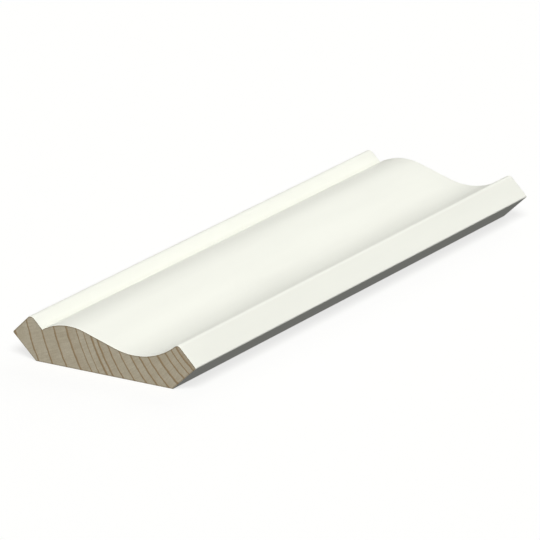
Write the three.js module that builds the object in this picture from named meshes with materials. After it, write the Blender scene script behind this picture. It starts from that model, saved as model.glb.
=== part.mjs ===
// A length of crown moulding: a sprung softwood ceiling moulding with a convex and a hollow curve, painted white.
// Millimetres, +Z up. The moulding lies on its flat back. X runs along it, +Y is the side that meets the wall,
// -Y is the side that meets the ceiling, and the origin is under the middle, on the plane of the back.
import * as THREE from 'three';

// Overall sizes
const LENGTH = 213;
const WIDTH = 70;
const THICKNESS = 15;

// The bevels' angles to the back. Wall and ceiling meet square, and each bevel is a little under 45 degrees, so
// that the moulding closes on its two front edges.
const WALL_BEVEL_ANGLE = 43.5;
const CEILING_BEVEL_ANGLE = 43.5;
const WALL_BEVEL_FACE = 12.4;
const CEILING_BEVEL_FACE = 12.4;
const ARRIS_RADIUS = 0.5;

// The angle to the back of the other flat faces: the tip face below the bead, the step and the fillet
const FLAT_ANGLE = 45;

// The bead at the wall side, and the step from its crest down to the notch where the ogee starts
const BEAD_RADIUS = 1.8;
const STEP_DEPTH = 6.2;

// The ogee: a convex arc out of the notch, a straight slope, and a hollow arc up to the lip at the ceiling side
const HUMP_START_ANGLE = 32;
const HUMP_RADIUS = 19.6;
const SLOPE_ANGLE = 16.8;
const HOLLOW_RADIUS = 24.4;
const LIP_RADIUS = 1.6;

const ARC_SEGMENTS = 12;

const PAINT_COLOUR = 0xf4f5ec;
const PAINT_ROUGHNESS = 0.55;

// A point that lies a given way off another one, in the plane of the section: x is across, y is up.
function offset(from, direction, distance) {
  return from.clone().addScaledVector(direction, distance);
}

function unit(angle) {
  return new THREE.Vector2(Math.cos(angle), Math.sin(angle));
}

// The round in the corner between two straight faces: where it starts and ends on them, and its centre.
function roundedCorner(before, corner, after, radius) {
  const back = before.clone().sub(corner).normalize();
  const ahead = after.clone().sub(corner).normalize();
  const halfAngle = Math.acos(back.dot(ahead)) / 2;
  const middle = back.clone().add(ahead).normalize();
  return {
    centre: offset(corner, middle, radius / Math.sin(halfAngle)),
    start: offset(corner, back, radius / Math.tan(halfAngle)),
    end: offset(corner, ahead, radius / Math.tan(halfAngle)),
    radius,
  };
}

// How far the corner between two faces stands past its own round in a given direction, for each mm of radius
function cornerReach(facing, nextFacing, direction) {
  const toCorner = facing.clone().add(nextFacing).divideScalar(1 + facing.dot(nextFacing));
  return toCorner.dot(direction) - 1;
}

function addArc(outline, centre, radius, start, end, clockwise) {
  const startAngle = start.clone().sub(centre).angle();
  const endAngle = end.clone().sub(centre).angle();
  outline.absarc(centre.x, centre.y, radius, startAngle, endAngle, clockwise);
}

// The section, walked from the wall side's back arris over the face to the ceiling side's back arris.
// Seen with the wall side on the right this is anticlockwise, so convex arcs run anticlockwise too.
function mouldingSection() {
  const wallAngle = THREE.MathUtils.degToRad(WALL_BEVEL_ANGLE);
  const ceilingAngle = THREE.MathUtils.degToRad(CEILING_BEVEL_ANGLE);
  const flatAngle = THREE.MathUtils.degToRad(FLAT_ANGLE);
  const quarterTurn = Math.PI / 2;
  const upWallBevel = unit(wallAngle);
  const upCeilingBevel = unit(2 * quarterTurn - ceilingAngle);
  const upTipFace = unit(2 * quarterTurn - flatAngle);
  const upStepAndFillet = unit(flatAngle);

  // The directions that the flat faces look in, and those to the two sides and up
  const wallBevelFacing = unit(wallAngle - quarterTurn);
  const ceilingBevelFacing = unit(3 * quarterTurn - ceilingAngle);
  const tipFacing = unit(quarterTurn - flatAngle);
  const stepAndFilletFacing = unit(quarterTurn + flatAngle);
  const [toWall, up, toCeiling] = [0, 1, 2].map((turns) => unit(turns * quarterTurn));

  // Wall side: the bevel, then the tip face up to the bead, then the step down to the notch
  const wallReach = ARRIS_RADIUS * cornerReach(wallBevelFacing, tipFacing, toWall);
  const wallTip = new THREE.Vector2(WIDTH / 2 + wallReach, WALL_BEVEL_FACE * upWallBevel.y);
  const wallArris = offset(wallTip, upWallBevel, -WALL_BEVEL_FACE);
  const beadHeight = THICKNESS + BEAD_RADIUS * cornerReach(tipFacing, stepAndFilletFacing, up);
  const beadCorner = offset(wallTip, upTipFace, (beadHeight - wallTip.y) / upTipFace.y);
  const notch = offset(beadCorner, upStepAndFillet, -STEP_DEPTH);

  // Ceiling side: the bevel, then the fillet up to the lip, which is as high as the bead
  const ceilingReach = ARRIS_RADIUS * cornerReach(ceilingBevelFacing, stepAndFilletFacing, toCeiling);
  const ceilingTip = new THREE.Vector2(-WIDTH / 2 - ceilingReach, CEILING_BEVEL_FACE * upCeilingBevel.y);
  const ceilingArris = offset(ceilingTip, upCeilingBevel, -CEILING_BEVEL_FACE);
  const lipHeight = THICKNESS - LIP_RADIUS;
  const lipBaseOnFillet = offset(ceilingTip, upStepAndFillet, (lipHeight - ceilingTip.y) / upStepAndFillet.y);
  const lipCentre = new THREE.Vector2(lipBaseOnFillet.x + LIP_RADIUS / upStepAndFillet.y, lipHeight);

  // The hump's arc leaves the notch at its start angle and ends where it is as steep as the slope.
  const startAngle = THREE.MathUtils.degToRad(HUMP_START_ANGLE);
  const slopeAngle = THREE.MathUtils.degToRad(SLOPE_ANGLE);
  const humpCentre = offset(notch, unit(quarterTurn - startAngle), -HUMP_RADIUS);
  const outOfSlope = unit(quarterTurn + slopeAngle);
  const slopeTop = offset(humpCentre, outOfSlope, HUMP_RADIUS);

  // The slope is as long as it takes for the hollow's circle to touch both the slope and the lip's round.
  const downSlope = unit(2 * quarterTurn + slopeAngle);
  const fromLip = offset(slopeTop, outOfSlope, HOLLOW_RADIUS).sub(lipCentre);
  const along = fromLip.dot(downSlope);
  const centreDistance = HOLLOW_RADIUS + LIP_RADIUS;
  const slopeLength = -along - Math.sqrt(along ** 2 - fromLip.lengthSq() + centreDistance ** 2);
  const slopeFoot = offset(slopeTop, downSlope, slopeLength);
  const hollowCentre = offset(slopeFoot, outOfSlope, HOLLOW_RADIUS);
  const towardsHollow = hollowCentre.clone().sub(lipCentre).normalize();
  const hollowEnd = offset(lipCentre, towardsHollow, LIP_RADIUS);
  const lipEnd = offset(lipCentre, stepAndFilletFacing, LIP_RADIUS);

  const corners = {
    wallArris: roundedCorner(ceilingArris, wallArris, wallTip, ARRIS_RADIUS),
    wallTip: roundedCorner(wallArris, wallTip, beadCorner, ARRIS_RADIUS),
    bead: roundedCorner(wallTip, beadCorner, notch, BEAD_RADIUS),
    ceilingTip: roundedCorner(lipEnd, ceilingTip, ceilingArris, ARRIS_RADIUS),
    ceilingArris: roundedCorner(ceilingTip, ceilingArris, wallArris, ARRIS_RADIUS),
  };

  const outline = new THREE.Shape();
  outline.moveTo(corners.wallArris.start.x, corners.wallArris.start.y);
  for (const { centre, start, end, radius } of [corners.wallArris, corners.wallTip, corners.bead]) {
    addArc(outline, centre, radius, start, end, false);
  }
  addArc(outline, humpCentre, HUMP_RADIUS, notch, slopeTop, false);
  addArc(outline, hollowCentre, HOLLOW_RADIUS, slopeFoot, hollowEnd, true);
  addArc(outline, lipCentre, LIP_RADIUS, hollowEnd, lipEnd, false);
  for (const { centre, start, end, radius } of [corners.ceilingTip, corners.ceilingArris]) {
    addArc(outline, centre, radius, start, end, false);
  }
  outline.closePath();
  return outline;
}

// The section carried straight along the moulding and cut square at both ends.
function moulding() {
  const geometry = new THREE.ExtrudeGeometry(mouldingSection(), {
    depth: LENGTH,
    curveSegments: ARC_SEGMENTS,
    steps: 1,
    bevelEnabled: false,
  });
  const paintedWood = new THREE.MeshStandardMaterial({
    color: PAINT_COLOUR,
    roughness: PAINT_ROUGHNESS,
    metalness: 0,
  });
  const mesh = new THREE.Mesh(geometry, paintedWood);
  mesh.name = 'moulding';

  // Across becomes Y, up becomes Z, and the length becomes X.
  const across = new THREE.Vector3(0, 1, 0);
  const up = new THREE.Vector3(0, 0, 1);
  const alongLength = new THREE.Vector3(1, 0, 0);
  mesh.setRotationFromMatrix(new THREE.Matrix4().makeBasis(across, up, alongLength));
  mesh.position.x = -LENGTH / 2;
  return mesh;
}

const crownMoulding = new THREE.Group();
crownMoulding.name = 'crown_moulding';
crownMoulding.add(moulding());

export default crownMoulding;
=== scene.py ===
import math

import bmesh
import bpy
import numpy as np
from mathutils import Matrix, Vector


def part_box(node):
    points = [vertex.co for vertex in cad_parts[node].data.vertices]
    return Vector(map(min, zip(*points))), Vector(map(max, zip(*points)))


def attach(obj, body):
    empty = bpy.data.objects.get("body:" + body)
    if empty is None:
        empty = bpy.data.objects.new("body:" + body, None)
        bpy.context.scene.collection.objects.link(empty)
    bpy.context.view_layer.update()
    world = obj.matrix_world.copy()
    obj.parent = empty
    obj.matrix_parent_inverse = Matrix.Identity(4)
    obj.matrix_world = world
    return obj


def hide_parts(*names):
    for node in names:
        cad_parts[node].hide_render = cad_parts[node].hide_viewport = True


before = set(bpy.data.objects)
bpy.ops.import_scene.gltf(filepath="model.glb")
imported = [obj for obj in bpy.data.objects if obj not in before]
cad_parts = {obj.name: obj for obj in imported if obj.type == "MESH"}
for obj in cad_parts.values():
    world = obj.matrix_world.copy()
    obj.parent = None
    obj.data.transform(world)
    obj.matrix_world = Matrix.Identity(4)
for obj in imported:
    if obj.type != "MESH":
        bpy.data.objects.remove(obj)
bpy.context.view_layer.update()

# The section of the moulding.
# One board of pine, planed on all its faces at once by a moulder's cutters: two bevels, a little under 45
# degrees so that the front edges close on wall and ceiling, a bead with a step down to a notch, and an ogee
# that rises again to a lip. The overall sizes come from the frame, the others are the moulder's settings.

MM = 0.001
low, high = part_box("moulding")
LENGTH, WIDTH, THICKNESS = high - low
BEVEL_ANGLE = math.radians(43.5)
BEVEL_FACE = 12.4 * MM
FLAT_ANGLE = math.radians(45)
ARRIS_RADIUS = 0.5 * MM
BEAD_RADIUS = 1.8 * MM
STEP_DEPTH = 6.2 * MM
HUMP_START_ANGLE = math.radians(32)
HUMP_RADIUS = 19.6 * MM
SLOPE_ANGLE = math.radians(16.8)
HOLLOW_RADIUS = 24.4 * MM
LIP_RADIUS = 1.6 * MM
ARC_POINTS = 161


def unit(angle):
    return np.array([math.cos(angle), math.sin(angle)])


def arc(centre, radius, start, end, hollow=False):
    """Points on a circle from one angle to another. Their normals point away from its centre, or into it."""
    angle = np.linspace(start, end, ARC_POINTS)[:, None]
    spoke = np.hstack([np.cos(angle), np.sin(angle)])
    return centre + radius * spoke, -spoke if hollow else spoke


def eased(corner, facing_before, facing_after, radius):
    """The round in a convex corner between two faces, given the angles that they face. Its centre lies on the
    corner's middle line, at the radius over the cosine of half the turn."""
    half_turn = (facing_after - facing_before) / 2
    centre = corner - radius / math.cos(half_turn) * unit(facing_before + half_turn)
    return arc(centre, radius, facing_before, facing_after)


def corner_reach(facing_before, facing_after, way):
    """How far a corner stands past its own round in the direction of the given angle, for each metre of
    radius: the cosine from there to the corner's middle line, over the cosine of half the turn, less one."""
    middle = (facing_before + facing_after) / 2
    return math.cos(way - middle) / math.cos(middle - facing_before) - 1


def section():
    """The outline across (y) and up (z), as points and normals, from the wall side's back arris over the
    face to the ceiling side's back arris. The flat faces are the straight stretches between the arcs, and
    the notch is the one corner without a round. The slope is as long as it takes for the hollow's circle to
    touch both it and the lip's round."""
    back, wall_bevel, tip = -math.pi / 2, BEVEL_ANGLE - math.pi / 2, math.pi / 2 - FLAT_ANGLE
    step, ceiling_bevel = math.pi - tip, math.pi - wall_bevel
    up_bevel, up_flat = unit(BEVEL_ANGLE), unit(FLAT_ANGLE)
    wall_tip_across = WIDTH / 2 + ARRIS_RADIUS * corner_reach(wall_bevel, tip, 0)
    wall_tip = np.array([wall_tip_across, BEVEL_FACE * up_bevel[1]])
    wall_arris = wall_tip - BEVEL_FACE * up_bevel
    ceiling_tip = wall_tip * [-1, 1]
    ceiling_arris = wall_arris * [-1, 1]
    bead_height = THICKNESS + BEAD_RADIUS * corner_reach(tip, step, math.pi / 2)
    bead = wall_tip + up_flat * [-1, 1] * (bead_height - wall_tip[1]) / up_flat[1]
    notch = bead - STEP_DEPTH * up_flat
    lip_height = THICKNESS - LIP_RADIUS
    lip = ceiling_tip + up_flat * (lip_height - ceiling_tip[1]) / up_flat[1] + [LIP_RADIUS / up_flat[1], 0]

    hump = notch - HUMP_RADIUS * unit(math.pi / 2 - HUMP_START_ANGLE)
    out_of_slope = unit(math.pi / 2 + SLOPE_ANGLE)
    down_slope = unit(math.pi + SLOPE_ANGLE)
    over_hump = hump + (HUMP_RADIUS + HOLLOW_RADIUS) * out_of_slope
    from_lip = over_hump - lip
    along = from_lip @ down_slope
    centre_distance = HOLLOW_RADIUS + LIP_RADIUS
    slope_length = -along - math.sqrt(along**2 - from_lip @ from_lip + centre_distance**2)
    hollow = over_hump + slope_length * down_slope
    lip_angle = math.atan2(*(hollow - lip)[::-1])

    stretches = [
        eased(wall_arris, back, wall_bevel, ARRIS_RADIUS),
        eased(wall_tip, wall_bevel, tip, ARRIS_RADIUS),
        eased(bead, tip, step, BEAD_RADIUS),
        (notch, unit(step)),
        arc(hump, HUMP_RADIUS, math.pi / 2 - HUMP_START_ANGLE, math.pi / 2 + SLOPE_ANGLE),
        arc(hollow, HOLLOW_RADIUS, SLOPE_ANGLE - math.pi / 2, lip_angle - math.pi, hollow=True),
        arc(lip, LIP_RADIUS, lip_angle, step),
        eased(ceiling_tip, step, ceiling_bevel, ARRIS_RADIUS),
        eased(ceiling_arris, ceiling_bevel, back + 2 * math.pi, ARRIS_RADIUS),
    ]
    points, normals = (np.vstack(part) for part in zip(*stretches))
    return points, normals


NOTCH_POINT = 3 * ARC_POINTS
COLUMNS = 501
TURN_RUN = 6 * MM


def column_places(points, normals, chains):
    """How far across each column stands, from the wall side's tip to the ceiling side's. All get the same
    share of the way across plus TURN_RUN for each radian that the outline turns. The nearest one moves to the
    notch."""
    way = np.sort(points[:, 0])[::-1]
    spent = way[0] - way
    for chain in chains:
        turn = np.arccos(np.clip((normals[chain[1:]] * normals[chain[:-1]]).sum(1), -1, 1))
        turn[chain[:-1] == NOTCH_POINT] = 0
        spent += TURN_RUN * np.interp(-way, -points[chain, 0], np.r_[0, np.cumsum(turn)])
    across = np.interp(np.linspace(0, spent[-1], COLUMNS), spent, way)
    at_notch = np.abs(across - points[NOTCH_POINT, 0]).argmin()
    across[at_notch] = points[NOTCH_POINT, 0]
    return across, at_notch


def face_and_underside():
    """Each column's point and facing on the face, and on the underside. In the notch the facing lies between
    its two sides' normals and is longer, so that a film of even thickness on both has its corner there."""
    points, normals = section()
    wall_tip, ceiling_tip = points[:, 0].argmax(), points[:, 0].argmin()
    over_face = np.arange(wall_tip, ceiling_tip + 1)
    under = np.r_[np.arange(wall_tip, -1, -1), np.arange(len(points) - 1, ceiling_tip - 1, -1)]
    across, at_notch = column_places(points, normals, (over_face, under))
    sides = []
    for chain in (over_face, under):
        known = -points[chain, 0]
        height = np.interp(-across, known, points[chain, 1])
        facing = np.stack([np.interp(-across, known, normals[chain, i]) for i in range(2)], 1)
        facing /= np.linalg.norm(facing, axis=1)[:, None]
        sides += [np.stack([across, height], 1), facing]
    before, after = normals[NOTCH_POINT : NOTCH_POINT + 2]
    sides[1][at_notch] = (before + after) / (1 + before @ after)
    return sides


# The wood's growth rings.
# The board was cut from beside the heart of a fast-grown pine, whose pith runs past the lip on the ceiling
# side, so the rings cross the section as arcs, and run along its faces as lines. Each year's ring starts pale
# and ends in a dark band of latewood, which stops sharply where the next year begins.

PITH_ACROSS = -54.6 * MM
PITH_UP = 35.2 * MM
PITH_DRIFT = 2.0 * MM
RING_WAVER = 0.25 * MM
WAVES_ALONG = 1.3
WAVE_ACROSS = 90 * MM
# For each ring its outer edge and its latewood's width in millimetres, and how brown its earlywood gets
GROWTH_RINGS = (
    (30.9, 0.60, 0.40),
    (34.5, 0.90, 0.50),
    (36.6, 0.60, 0.20),
    (39.3, 0.75, 0.20),
    (42.6, 1.00, 0.25),
    (46.1, 0.80, 0.20),
    (49.1, 0.80, 0.20),
    (52.1, 0.80, 0.15),
    (55.5, 0.60, 0.10),
    (58.9, 0.70, 0.10),
    (62.1, 0.90, 0.20),
    (64.1, 1.00, 0.10),
    (66.4, 0.40, 0.10),
    (68.9, 0.50, 0.05),
    (72.7, 0.95, 0.35),
    (77.5, 0.75, 0.15),
    (82.4, 0.70, 0.15),
    (87.4, 0.70, 0.10),
    (93.0, 0.90, 0.10),
    (97.0, 0.70, 0.10),
)


def from_pith(points):
    """Each point's place in the tree: along it, outwards from the pith, and round the pith as the length of
    an arc at the middle of the board. The pith drifts across the length, and the rings waver a little along
    it."""
    along = points[:, 0]
    share = along / LENGTH + 0.5
    across = points[:, 1] - PITH_ACROSS - PITH_DRIFT * share
    up = points[:, 2] - PITH_UP
    waver = np.sin(2 * math.pi * (WAVES_ALONG * share + points[:, 1] / WAVE_ACROSS))
    outwards = np.hypot(across, up) + RING_WAVER * share * waver
    return np.stack([along, outwards, np.arctan2(up, across) * -PITH_ACROSS], 1)


def rings_at(outwards):
    """How many rings lie inside each distance from the pith, with a fraction, the share of the last one's
    width that is latewood, and how brown its earlywood gets."""
    edges, latewood, earlywood = np.array(GROWTH_RINGS).T
    inner_edges = np.r_[0.0, edges[:-1]]
    age = np.interp(outwards / MM, np.r_[0.0, edges], np.arange(len(edges) + 1))
    ring = np.minimum(age.astype(int), len(edges) - 1)
    return age, latewood[ring] / (edges - inner_edges)[ring], earlywood[ring]


# The painted skin and the sawn ends.
# The planed length gets primer and topcoat on every face. Then a crosscut saw cuts it square, which leaves
# bare end grain inside the film. A rub with fine paper thins the film towards the cut, so its edge is soft.

FILM = 0.12 * MM
FILM_EDGE_RUN = 0.45 * MM
FILM_EDGE_STEPS = 5
STATIONS = 24
CORE_ROWS = 22
SPINE_SHARE = 0.86
SAW_RADIUS = 125 * MM
SAW_ARBOR_UP = 60 * MM
SAW_MARK_PITCH = 1.1 * MM
END_RELIEF = 0.03 * MM
END_RELIEF_RUN = 0.6 * MM
WELD = 0.0001 * MM
SHARP = math.radians(50)
STRAIGHT_DOWN = -0.999
PAINT, SAWN_END, BACK = 0, 1, 2


def closed_up(over_face, under):
    """One loop from two rows of columns that share their first and last one."""
    return np.vstack([over_face, under[-2:0:-1]])


def skin_rows():
    """Where each row of the skin stands along the length and how far it is sunk into the section. Near an end
    it sinks by the film's thickness times the square of the way to the cut. The rest are evenly spaced."""
    to_cut = np.linspace(1, 0, FILM_EDGE_STEPS)
    in_from_end = FILM_EDGE_RUN * (1 - to_cut)
    sunk = FILM * to_cut**2
    half = LENGTH / 2
    middle = np.linspace(FILM_EDGE_RUN - half, half - FILM_EDGE_RUN, STATIONS)[1:-1]
    along = np.r_[in_from_end - half, middle, (half - in_from_end)[::-1]]
    return along, np.r_[sunk, np.zeros(len(middle)), sunk[::-1]]


def sawn_end(end, face, face_facing, under, under_facing):
    """The bare wood of one end. Each point of the edge is joined by a straight row of points to a spine,
    which lies halfway between face and underside and stops short of the two tips. A point's depth inside the
    edge is its height to the face or the underside, times how far that one faces up or down, whichever is
    less. The end is sunk by the saw's marks, which are the blade's own curve repeated as it moves across,
    and by a little more in the soft earlywood, but not at its edge."""
    top = face - FILM * face_facing
    bottom = under - FILM * under_facing
    middle = SPINE_SHARE * (top[:, 0] + bottom[:, 0]) / 2
    heights = [np.interp(-middle, -side[:, 0], side[:, 1]) for side in (top, bottom)]
    spine = np.stack([middle, sum(heights) / 2], 1)
    share = np.linspace(0, 1, CORE_ROWS)[:, None]
    rows = closed_up(top, bottom)[:, None] * (1 - share) + closed_up(spine, spine)[:, None] * share
    across, up = rows.reshape(-1, 2).T
    under_top = np.interp(-across, -top[:, 0], top[:, 1]) - up
    over_bottom = up - np.interp(-across, -bottom[:, 0], bottom[:, 1])
    lean_top = np.interp(-across, -top[:, 0], face_facing[:, 1])
    lean_bottom = -np.interp(-across, -bottom[:, 0], under_facing[:, 1])
    depth = np.clip(np.minimum(under_top * lean_top, over_bottom * lean_bottom), 0, None)

    wood = np.column_stack([np.full(depth.size, end), across, up])
    age = rings_at(from_pith(wood)[:, 1])[0]
    soft = 1 - (age % 1) ** 4
    blade = across + np.sqrt(SAW_RADIUS**2 - (up - SAW_ARBOR_UP) ** 2)
    marks = 0.5 + 0.5 * np.sin(2 * math.pi * blade / SAW_MARK_PITCH)
    inside = np.clip(depth / END_RELIEF_RUN, 0, 1)
    wood[:, 0] -= np.sign(end) * END_RELIEF * inside * (0.5 * soft + 0.5 * marks)
    return wood, depth


def faces_of(numbers):
    """A grid's faces, each with the numbers of its four corners in turn."""
    corners = [numbers[:-1, :-1], numbers[:-1, 1:], numbers[1:, 1:], numbers[1:, :-1]]
    return np.stack(corners, 2).reshape(-1, 4)


def moulding_mesh():
    """The skin is the outline carried along the length and sunk by each row's depth. It is welded to the two
    sawn ends into one closed mesh, with its finishes numbered as above."""
    face, face_facing, under, under_facing = face_and_underside()
    outline, facing = closed_up(face, under), closed_up(face_facing, under_facing)
    along, sunk = skin_rows()
    sections = outline - sunk[:, None, None] * facing
    skin = np.dstack([np.broadcast_to(along[:, None], sections.shape[:2]), sections]).reshape(-1, 3)
    near, near_depth = sawn_end(-LENGTH / 2, face, face_facing, under, under_facing)
    far, far_depth = sawn_end(LENGTH / 2, face, face_facing, under, under_facing)
    points = np.vstack([skin, near, far])

    around = np.arange(len(skin)).reshape(len(along), len(outline))
    skin_faces = faces_of(np.c_[around, around[:, 0]])
    inwards = np.arange(len(near)).reshape(len(outline), CORE_ROWS)
    end_faces = faces_of(np.r_[inwards, inwards[:1]])
    faces = np.vstack([skin_faces, len(skin) + end_faces, len(skin) + len(near) + end_faces])
    flat_back = (facing[:, 1] < STRAIGHT_DOWN) & (np.roll(facing[:, 1], -1) < STRAIGHT_DOWN)
    skin_finish = np.tile(np.where(flat_back, BACK, PAINT), len(along) - 1)
    finish = np.r_[skin_finish, np.full(2 * len(end_faces), SAWN_END)]

    mesh = bpy.data.meshes.new("painted_pine_moulding")
    mesh.from_pydata(points.tolist(), [], faces.tolist())
    mesh.polygons.foreach_set("material_index", finish.astype(np.int32))
    mesh.polygons.foreach_set("use_smooth", np.ones(len(faces), bool))
    place = from_pith(points)
    age, latewood, earlywood = rings_at(place[:, 1])
    attributes = {
        "ring_age": age,
        "latewood": latewood,
        "earlywood": earlywood,
        "edge_depth_mm": np.r_[np.zeros(len(skin)), near_depth, far_depth] / MM,
        "from_notch_mm": np.linalg.norm(points[:, 1:] - section()[0][NOTCH_POINT], axis=1) / MM,
    }
    for name, values in attributes.items():
        mesh.attributes.new(name, "FLOAT", "POINT").data.foreach_set("value", values.astype(np.float32))
    in_tree = mesh.attributes.new("place_in_tree", "FLOAT_VECTOR", "POINT")
    in_tree.data.foreach_set("vector", place.reshape(-1).astype(np.float32))

    welded = bmesh.new()
    welded.from_mesh(mesh)
    bmesh.ops.remove_doubles(welded, verts=welded.verts, dist=WELD)
    bmesh.ops.recalc_face_normals(welded, faces=welded.faces)
    welded.to_mesh(mesh)
    welded.free()
    mesh.set_sharp_from_angle(angle=SHARP)
    return mesh


moulding = bpy.data.objects.new("painted_pine_moulding", moulding_mesh())
bpy.context.scene.collection.objects.link(moulding)
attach(moulding, "root")
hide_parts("moulding")

# The topcoat.
# White satin acrylic, sprayed over primer in two coats with a light rub between them. It covers the face, the
# bevels and their arrises. The back gets less of it, and the saw comes after it, so it stops at both cuts.

# How far from the notch the white is painted greyer, as painted shade in the inside corner
NOTCH_SHADE_MM = 1.5
# The rings' own wander as a share of a ring, the share of the latewood over which it darkens, and how much
# more the latewood stands out than single fibres do
RING_WANDER = 0.14
LATEWOOD_RISE = 0.45
LATEWOOD_SWELL = 1.5


def linear(code):
    """An sRGB hex colour as linear red, green, blue and full alpha, by the standard's two-part curve."""
    channels = np.array([int(code[i : i + 2], 16) for i in (1, 3, 5)]) / 255
    bright = ((channels + 0.055) / 1.055) ** 2.4
    return (*np.where(channels <= 0.04045, channels / 12.92, bright), 1.0)


def add(graph, kind, inputs, **settings):
    """Adds a node with its settings, and gives its outputs. Each input gets a value, or a link from another
    node's output. A colour Mix node's two colours are its inputs 6 and 7, and its result is output 2."""
    node = graph.nodes.new("ShaderNode" + kind)
    for name, setting in settings.items():
        setattr(node, name, setting)
    for key, value in inputs.items():
        if isinstance(value, bpy.types.NodeSocket):
            graph.links.new(value, node.inputs[key])
        else:
            node.inputs[key].default_value = value
    return node.outputs


def new_material(name):
    material = bpy.data.materials.new(name)
    material.use_nodes = True
    material.node_tree.nodes.clear()
    return material, material.node_tree


def spots(graph, place, sizes, detail=2.0):
    """Soft random spots with values around a half. Their sizes run along, across and up the moulding where
    the place is the object's, and along, outwards and round the tree where it is the place in the tree."""
    scaled = add(graph, "Mapping", {"Vector": place, "Scale": [1 / size for size in sizes]})["Vector"]
    shape = {"Vector": scaled, "Scale": 1.0, "Detail": detail, "Roughness": 0.55}
    return add(graph, "TexNoise", shape)["Fac"]


def ring_darkness(graph, in_tree):
    """How dark the wood is by its place in the year's ring. The earlywood darkens as the square root of the
    way through the ring, up to the ring's own tone. The latewood rises fast to full at the sharp outer
    edge."""
    age = add(graph, "Attribute", {}, attribute_name="ring_age")["Fac"]
    share = add(graph, "Attribute", {}, attribute_name="latewood")["Fac"]
    tone = add(graph, "Attribute", {}, attribute_name="earlywood")["Fac"]
    wander = spots(graph, in_tree, (90 * MM, 2.2 * MM, 2.2 * MM))
    centred = add(graph, "Math", {0: wander, 1: 0.5}, operation="SUBTRACT")[0]
    wandering = add(graph, "Math", {0: centred, 1: RING_WANDER, 2: age}, operation="MULTIPLY_ADD")[0]
    through = add(graph, "Math", {0: wandering}, operation="FRACT")[0]
    start = add(graph, "Math", {0: 1.0, 1: share}, operation="SUBTRACT")[0]
    full = add(graph, "Math", {0: share, 1: LATEWOOD_RISE - 1, 2: 1.0}, operation="MULTIPLY_ADD")[0]
    band = {"Value": through, "From Min": start, "From Max": full}
    late = add(graph, "MapRange", band, interpolation_type="SMOOTHSTEP")["Result"]
    root = add(graph, "Math", {0: through, 1: 0.5}, operation="POWER")[0]
    early = add(graph, "Math", {0: root, 1: tone}, operation="MULTIPLY")[0]
    return add(graph, "Math", {0: early, 1: late}, operation="MAXIMUM")[0]


def satin_topcoat():
    """Acrylic topcoat: an opaque warm white with a soft, even sheen. The eye gets almost no pattern from it,
    only a breath of orange peel and the grain, which swells a little under the film. Within a millimetre and
    a half of the notch the white is painted greyer, as painted shade in that inside corner."""
    material, graph = new_material("satin_white_acrylic_topcoat")
    place = add(graph, "TexCoord", {})["Object"]
    in_tree = add(graph, "Attribute", {}, attribute_name="place_in_tree")["Vector"]
    clouds = spots(graph, place, (54 * MM, 9 * MM, 9 * MM))
    cloudy = add(graph, "MapRange", {"Value": clouds, "From Min": 0.35, "From Max": 0.65})["Result"]
    whites = {"Factor": cloudy, 6: linear("#f4f5eb"), 7: linear("#f6f7ed")}
    white = add(graph, "Mix", whites, data_type="RGBA")[2]
    # Painted shade: the white turns greyer towards the notch, where that inside corner would be in shade.
    from_notch = add(graph, "Attribute", {}, attribute_name="from_notch_mm")["Fac"]
    near = {"Value": from_notch, "From Max": NOTCH_SHADE_MM, "To Min": 1.0, "To Max": 0.0}
    notch_shade = add(graph, "MapRange", near)["Result"]
    colour = add(graph, "Mix", {"Factor": notch_shade, 6: white, 7: linear("#ebece1")}, data_type="RGBA")[2]

    fibres = spots(graph, in_tree, (45 * MM, 0.5 * MM, 0.5 * MM), detail=3.0)
    darkness = ring_darkness(graph, in_tree)
    swollen = add(graph, "Math", {0: darkness, 1: LATEWOOD_SWELL, 2: fibres}, operation="MULTIPLY_ADD")[0]
    grain = add(graph, "Bump", {"Distance": 0.004 * MM, "Height": swollen})["Normal"]
    peel = spots(graph, place, (2.1 * MM, 1.3 * MM, 1.3 * MM))
    surface = add(graph, "Bump", {"Distance": 0.008 * MM, "Height": peel, "Normal": grain})["Normal"]

    sprayed = spots(graph, place, (40 * MM, 4 * MM, 4 * MM))
    sheen = {"Value": sprayed, "From Min": 0.3, "From Max": 0.7, "To Min": 0.42, "To Max": 0.5}
    rough = add(graph, "MapRange", sheen)["Result"]
    coat = {"Base Color": colour, "Roughness": rough, "Normal": surface, "IOR": 1.48}
    shader = add(graph, "BsdfPrincipled", coat)["BSDF"]
    add(graph, "OutputMaterial", {"Surface": shader})
    return material


# The sawn end grain.
# Crosscut pine without any finish. The length is sawn off a longer painted one, so its wood lies bare inside
# the coat at both ends, and the cut runs straight through the rings.

RING_BROWN = 0.74
SOAKED_DEPTH_MM = 0.5
SOAKED = 0.6


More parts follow.
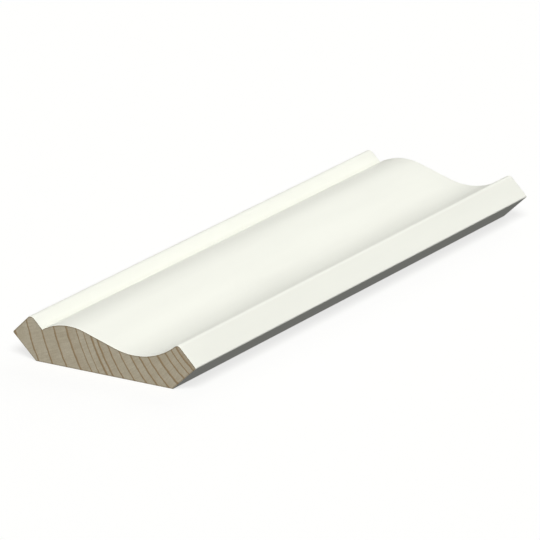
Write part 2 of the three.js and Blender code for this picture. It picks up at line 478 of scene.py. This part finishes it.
def sawn_pine():
    """Crosscut pine: open fibre ends that look matt, greyish and darker than the face of the wood, with brown
    rings, fine pale rays across them, and a darker line just inside the paint, where primer soaked in and the
    saw bruised the edge. The fibres are drawn some ten times coarser than real ones, which wouldn't show."""
    material, graph = new_material("crosscut_pine_end_grain")
    in_tree = add(graph, "Attribute", {}, attribute_name="place_in_tree")["Vector"]
    blotches = spots(graph, in_tree, (60 * MM, 3.5 * MM, 3.5 * MM))
    blotchy = add(graph, "MapRange", {"Value": blotches, "From Min": 0.3, "From Max": 0.7})["Result"]
    earlywoods = {"Factor": blotchy, 6: linear("#c9c0a8"), 7: linear("#d4ccb6")}
    earlywood = add(graph, "Mix", earlywoods, data_type="RGBA")[2]
    rays = spots(graph, in_tree, (3 * MM, 5 * MM, 0.3 * MM))
    between_rays = {"Value": rays, "From Min": 0.35, "From Max": 0.7, "To Max": 0.4}
    shaded = add(graph, "MapRange", between_rays)["Result"]
    rayed = add(graph, "Mix", {"Factor": shaded, 6: earlywood, 7: linear("#ab9f86")}, data_type="RGBA")[2]
    fibres = spots(graph, in_tree, (8 * MM, 0.3 * MM, 0.3 * MM), detail=3.0)
    pores = {"Value": fibres, "From Min": 0.35, "From Max": 0.7, "To Max": 0.35}
    speckle = add(graph, "MapRange", pores)["Result"]
    speckled = add(graph, "Mix", {"Factor": speckle, 6: rayed, 7: linear("#a3967c")}, data_type="RGBA")[2]
    darkness = ring_darkness(graph, in_tree)
    brown = add(graph, "Math", {0: darkness, 1: RING_BROWN}, operation="MULTIPLY")[0]
    ringed = add(graph, "Mix", {"Factor": brown, 6: speckled, 7: linear("#93764d")}, data_type="RGBA")[2]
    depth = add(graph, "Attribute", {}, attribute_name="edge_depth_mm")["Fac"]
    rim = {"Value": depth, "From Max": SOAKED_DEPTH_MM, "To Min": SOAKED, "To Max": 0.0}
    soaked = add(graph, "MapRange", rim)["Result"]
    colour = add(graph, "Mix", {"Factor": soaked, 6: ringed, 7: linear("#75603f")}, data_type="RGBA")[2]

    height = add(graph, "Math", {0: darkness, 1: LATEWOOD_SWELL, 2: fibres}, operation="MULTIPLY_ADD")[0]
    surface = add(graph, "Bump", {"Distance": 0.02 * MM, "Height": height})["Normal"]
    torn = {"Value": fibres, "From Min": 0.3, "From Max": 0.7, "To Min": 0.8, "To Max": 0.92}
    rough = add(graph, "MapRange", torn)["Result"]
    wood = {"Base Color": colour, "Roughness": rough, "Normal": surface, "IOR": 1.45}
    shader = add(graph, "BsdfPrincipled", wood)["BSDF"]
    add(graph, "OutputMaterial", {"Surface": shader})
    return material


# The back.
# The planed back gets one thin sealing coat, since it can't be seen once the moulding is up. Overspray from
# the faces covers its edges.

OVERSPRAY_START = 24.5 * MM
OVERSPRAY_FULL = 28.5 * MM
OVERSPRAY_RAGGED = 5 * MM
THIN_COAT = 0.35
LINES_BROWN = 0.8


def thin_coated_back():
    """Planed pine under a milky film: the wood's lines show through it in the middle, and the overspray
    towards the arrises hides them, with a ragged edge."""
    material, graph = new_material("thinly_coated_pine_back")
    place = add(graph, "TexCoord", {})["Object"]
    in_tree = add(graph, "Attribute", {}, attribute_name="place_in_tree")["Vector"]
    blotches = spots(graph, in_tree, (150 * MM, 5 * MM, 5 * MM))
    blotchy = add(graph, "MapRange", {"Value": blotches, "From Min": 0.3, "From Max": 0.7})["Result"]
    pales = {"Factor": blotchy, 6: linear("#d8c29a"), 7: linear("#e2d0ab")}
    pale = add(graph, "Mix", pales, data_type="RGBA")[2]
    fibres = spots(graph, in_tree, (25 * MM, 0.4 * MM, 0.4 * MM), detail=3.0)
    lines = {"Value": fibres, "From Min": 0.35, "From Max": 0.7, "To Max": 0.4}
    streaks = add(graph, "MapRange", lines)["Result"]
    streaked = add(graph, "Mix", {"Factor": streaks, 6: pale, 7: linear("#b99a68")}, data_type="RGBA")[2]
    darkness = ring_darkness(graph, in_tree)
    brown = add(graph, "Math", {0: darkness, 1: LINES_BROWN}, operation="MULTIPLY")[0]
    wood = add(graph, "Mix", {"Factor": brown, 6: streaked, 7: linear("#a87a45")}, data_type="RGBA")[2]

    across = add(graph, "SeparateXYZ", {"Vector": place})["Y"]
    from_middle = add(graph, "Math", {0: across}, operation="ABSOLUTE")[0]
    ragged = spots(graph, place, (6.6 * MM, 2.2 * MM, 2.2 * MM), detail=4.0)
    reach = add(graph, "Math", {0: ragged, 1: OVERSPRAY_RAGGED, 2: from_middle}, operation="MULTIPLY_ADD")[0]
    fade = {"Value": reach, "From Min": OVERSPRAY_START, "From Max": OVERSPRAY_FULL, "To Min": THIN_COAT}
    covered = add(graph, "MapRange", fade)["Result"]
    colour = add(graph, "Mix", {"Factor": covered, 6: wood, 7: linear("#f3f4ea")}, data_type="RGBA")[2]

    surface = add(graph, "Bump", {"Distance": 0.02 * MM, "Height": fibres})["Normal"]
    dry = {"Value": covered, "From Min": THIN_COAT, "From Max": 1.0, "To Min": 0.75, "To Max": 0.5}
    rough = add(graph, "MapRange", dry)["Result"]
    film = {"Base Color": colour, "Roughness": rough, "Normal": surface, "IOR": 1.48}
    shader = add(graph, "BsdfPrincipled", film)["BSDF"]
    add(graph, "OutputMaterial", {"Surface": shader})
    return material


for finish in (satin_topcoat(), sawn_pine(), thin_coated_back()):
    moulding.data.materials.append(finish)

# The studio floor.
# A white sheet on a table that is lit through from below, so that shadows on it stay faint. Its own light and
# its reflection are kept off the moulding, whose lower bevel is dark.

FLOOR_SIDE = 12.0
FLOOR_GLOW = 0.75


def lit_floor():
    """One flat square, a plain grey that reflects about a quarter of the light, with a white glow added."""
    half = FLOOR_SIDE / 2
    corners = [(-half, -half, 0), (half, -half, 0), (half, half, 0), (-half, half, 0)]
    mesh = bpy.data.meshes.new("lit_floor")
    mesh.from_pydata(corners, [], [(0, 1, 2, 3)])
    floor = bpy.data.objects.new("lit_floor", mesh)
    bpy.context.scene.collection.objects.link(floor)
    material, graph = new_material("backlit_white_sheet")
    glow = {"Emission Color": linear("#fdfdfc"), "Emission Strength": FLOOR_GLOW}
    sheet = add(graph, "BsdfPrincipled", {"Base Color": linear("#8a8a89"), "Roughness": 0.9, **glow})["BSDF"]
    add(graph, "OutputMaterial", {"Surface": sheet})
    mesh.materials.append(material)
    floor.visible_diffuse = False
    floor.visible_glossy = False


lit_floor()

# The lights.
# A large soft lamp hangs high on the camera's side, and a weaker one stands low beyond the far end and is
# kept out of the paint's sheen. The walls of the white room add a little from all round.

ROOM_ABOVE = 0.13
ROOM_BELOW = 0.165
ROOM_SEEN = 0.95


def soft_lamp(name, towards, width, strength):
    """A lamp far off in the given direction, as wide as the given angle in degrees."""
    lamp = bpy.data.lights.new(name, "SUN")
    lamp.angle = math.radians(width)
    lamp.energy = strength
    holder = bpy.data.objects.new(name, lamp)
    holder.rotation_euler = Vector(towards).to_track_quat("Z", "Y").to_euler()
    bpy.context.scene.collection.objects.link(holder)
    return holder


def white_room():
    """Even light from above the horizon and from below it, with a soft change between. The camera sees the
    walls as pale as the floor."""
    world = bpy.data.worlds.new("white_room")
    world.use_nodes = True
    graph = world.node_tree
    graph.nodes.clear()
    way = add(graph, "TexCoord", {})["Generated"]
    up = add(graph, "SeparateXYZ", {"Vector": way})["Z"]
    horizon = {"Value": up, "From Min": -0.05, "From Max": 0.05, "To Min": ROOM_BELOW, "To Max": ROOM_ABOVE}
    lighting = add(graph, "MapRange", horizon)["Result"]
    seen = add(graph, "LightPath", {})["Is Camera Ray"]
    strength = add(graph, "MapRange", {"Value": seen, "To Min": lighting, "To Max": ROOM_SEEN})["Result"]
    light = add(graph, "Background", {"Color": (1, 1, 1, 1), "Strength": strength})["Background"]
    add(graph, "OutputWorld", {"Surface": light})
    bpy.context.scene.world = world


soft_lamp("key_softbox", towards=(-0.533, -0.381, 0.756), width=28, strength=3.06)
far_end_fill = soft_lamp("far_end_fill", towards=(0.966, 0.08, 0.25), width=60, strength=1.3)
far_end_fill.visible_glossy = False
white_room()
bpy.context.scene.view_settings.view_transform = "Standard"

# The camera.
# A long lens stands low off the near end on the ceiling side. It shows that end's section in full, at the
# lower left, with the length running away from it to the upper right, as in the picture.

VIEW_AZIMUTH = math.radians(-58.29)
VIEW_ELEVATION = math.radians(18.26)
VIEW_DISTANCE = 2267.0 * MM
VIEW_AIM = Vector((0.10 * MM, 3.08 * MM, 5.15 * MM))
LENS_MM = 452.1
SENSOR_MM = 36.0

camera_data = bpy.data.cameras.new("camera")
camera_data.lens = LENS_MM
camera_data.sensor_width = SENSOR_MM
camera_data.clip_end = 50.0
camera = bpy.data.objects.new("camera", camera_data)
sideways = math.cos(VIEW_ELEVATION)
towards_camera = Vector(
    (math.sin(VIEW_AZIMUTH) * sideways, -math.cos(VIEW_AZIMUTH) * sideways, math.sin(VIEW_ELEVATION))
)
camera.location = VIEW_AIM + VIEW_DISTANCE * towards_camera
camera.rotation_euler = towards_camera.to_track_quat("Z", "Y").to_euler()
bpy.context.scene.collection.objects.link(camera)
bpy.context.scene.camera = camera
